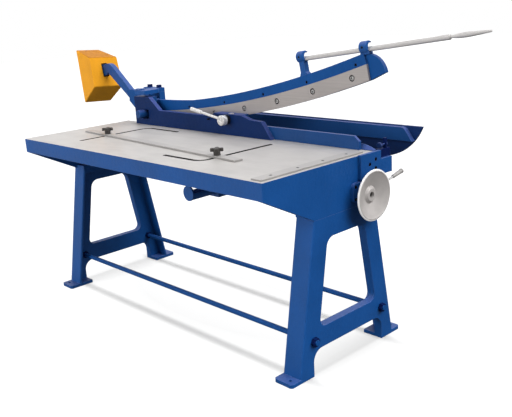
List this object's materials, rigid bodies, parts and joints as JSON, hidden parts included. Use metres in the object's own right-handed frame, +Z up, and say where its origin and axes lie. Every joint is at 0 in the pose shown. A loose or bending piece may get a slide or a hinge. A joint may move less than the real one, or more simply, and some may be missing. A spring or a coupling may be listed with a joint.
{
  "type": "bench shear",
  "caption": "Manual bench shear: cast bed on A-frame stands, curved blade on a counterweighted lever beam, with hold-down, table stop and rack-driven back gauge.",
  "frame": {"origin": "on the floor at the centre of the four anchor holes of the stands", "axes": "+X towards the handwheel and handle end, +Y to the rear, +Z up"},
  "size_m": [2.5221, 0.883, 1.2444],
  "materials": {
    "blue_paint": "semi-gloss blue machine paint",
    "orange_paint": "semi-gloss orange paint",
    "blade_steel": "ground tool steel",
    "ground_steel": "bright ground steel",
    "bright_plate": "zinc plated",
    "cast_alloy": "cast and turned",
    "dark_steel": "blackened steel",
    "knob_plastic": "moulded, dark grey",
    "bronze": "turned bearing bronze"
  },
  "bodies": {
    "bed": {"bed_casting": "blue_paint", "left_stand": "blue_paint", "right_stand": "blue_paint", "tie_rods": "blue_paint", "tie_rod_nuts": "dark_steel", "stand_bolts": "dark_steel", "lower_blade": "blade_steel", "lower_blade_screws": "dark_steel", "side_gauge": "ground_steel", "side_gauge_screws": "dark_steel", "pivot_bracket": "blue_paint", "pivot_bracket_bolts": "dark_steel", "bridge_plate": "blue_paint", "bridge_screws": "dark_steel", "bridge_plug": "ground_steel", "pivot_pin": "blue_paint", "pivot_nut": "dark_steel", "end_guide_bracket": "blue_paint", "end_guide_screws": "dark_steel", "guide_shoe": "blue_paint", "guide_adjusting_screw": "blue_paint", "bearing_flange": "blue_paint", "bearing_screws": "dark_steel", "inner_bearing": "blue_paint", "rail_guides": "blue_paint", "clamp_link": "ground_steel"},
    "hold_down": {"hold_down": "blue_paint", "lever_stop_pin": "bright_plate"},
    "clamp": {"clamp_hub": "bright_plate", "clamp_cam": "ground_steel", "clamp_lever": "bright_plate", "clamp_grip": "bright_plate"},
    "beam": {"blade_beam": "blue_paint", "upper_blade": "blade_steel", "blade_screws": "bright_plate", "beam_adjusting_screws": "dark_steel", "counterweight_arm": "blue_paint", "arm_screws": "dark_steel", "pivot_bush": "bronze", "counterweight": "orange_paint", "counterweight_bolts": "dark_steel", "inner_handle_eye": "blue_paint", "outer_handle_eye": "blue_paint", "handle_bar": "ground_steel", "handle_grip": "ground_steel", "handle_set_screws": "dark_steel"},
    "back_gauge": {"gauge_plate": "blue_paint", "gauge_bar": "blue_paint", "gauge_rail": "blue_paint", "gauge_upright": "blue_paint", "gauge_bolts": "dark_steel"},
    "wheel": {"handwheel": "cast_alloy", "cross_shaft": "dark_steel", "pinion": "ground_steel"},
    "shaft_lock": {"lock_lever": "bright_plate", "lock_grip": "bright_plate"},
    "table_stop": {"stop_bar": "ground_steel", "stop_nuts": "dark_steel"},
    "left_knob": {"left_knob": "knob_plastic"},
    "right_knob": {"right_knob": "knob_plastic"}
  },
  "joints": [
    {"name": "blade_hinge", "type": "hinge", "parent": "bed", "child": "beam", "pos_m": [-0.622, 0.21, 0.857], "axis": [0, 1, 0], "range_deg": [0, 11.2]},
    {"name": "hold_down_lift", "type": "slide", "parent": "bed", "child": "hold_down", "axis": [0, 0, 1], "range_m": [0, 0.00601]},
    {"name": "clamp_lever_turn", "type": "hinge", "parent": "hold_down", "child": "clamp", "pos_m": [0.032, 0.117, 0.872], "axis": [0, 1, 0], "range_deg": [0, 90]},
    {"name": "gauge_slide", "type": "slide", "parent": "bed", "child": "back_gauge", "axis": [0, 1, 0], "range_m": [-0.1, 0.1]},
    {"name": "handwheel_turn", "type": "hinge", "parent": "bed", "child": "wheel", "pos_m": [0.88, 0.1, 0.65], "axis": [1, 0, 0], "range_deg": [-240, 240]},
    {"name": "shaft_lock_turn", "type": "hinge", "parent": "bed", "child": "shaft_lock", "pos_m": [0.85, 0.1, 0.65], "axis": [1, 0, 0], "range_deg": [-35, 0]},
    {"name": "stop_slide", "type": "slide", "parent": "bed", "child": "table_stop", "axis": [0, 1, 0], "range_m": [-0.035, 0.185]},
    {"name": "left_knob_turn", "type": "hinge", "parent": "table_stop", "child": "left_knob", "pos_m": [-0.507, -0.159, 0.82], "axis": [0, 0, 1], "range_deg": [0, 360]},
    {"name": "right_knob_turn", "type": "hinge", "parent": "table_stop", "child": "right_knob", "pos_m": [0.371, -0.224, 0.82], "axis": [0, 0, 1], "range_deg": [0, 360]}
  ],
  "couplings": [
    {"joint": "hold_down_lift", "follows": "clamp_lever_turn", "m_per_rad": 0.0038197},
    {"joint": "handwheel_turn", "follows": "gauge_slide", "rad_per_m": 41.667}
  ]
}
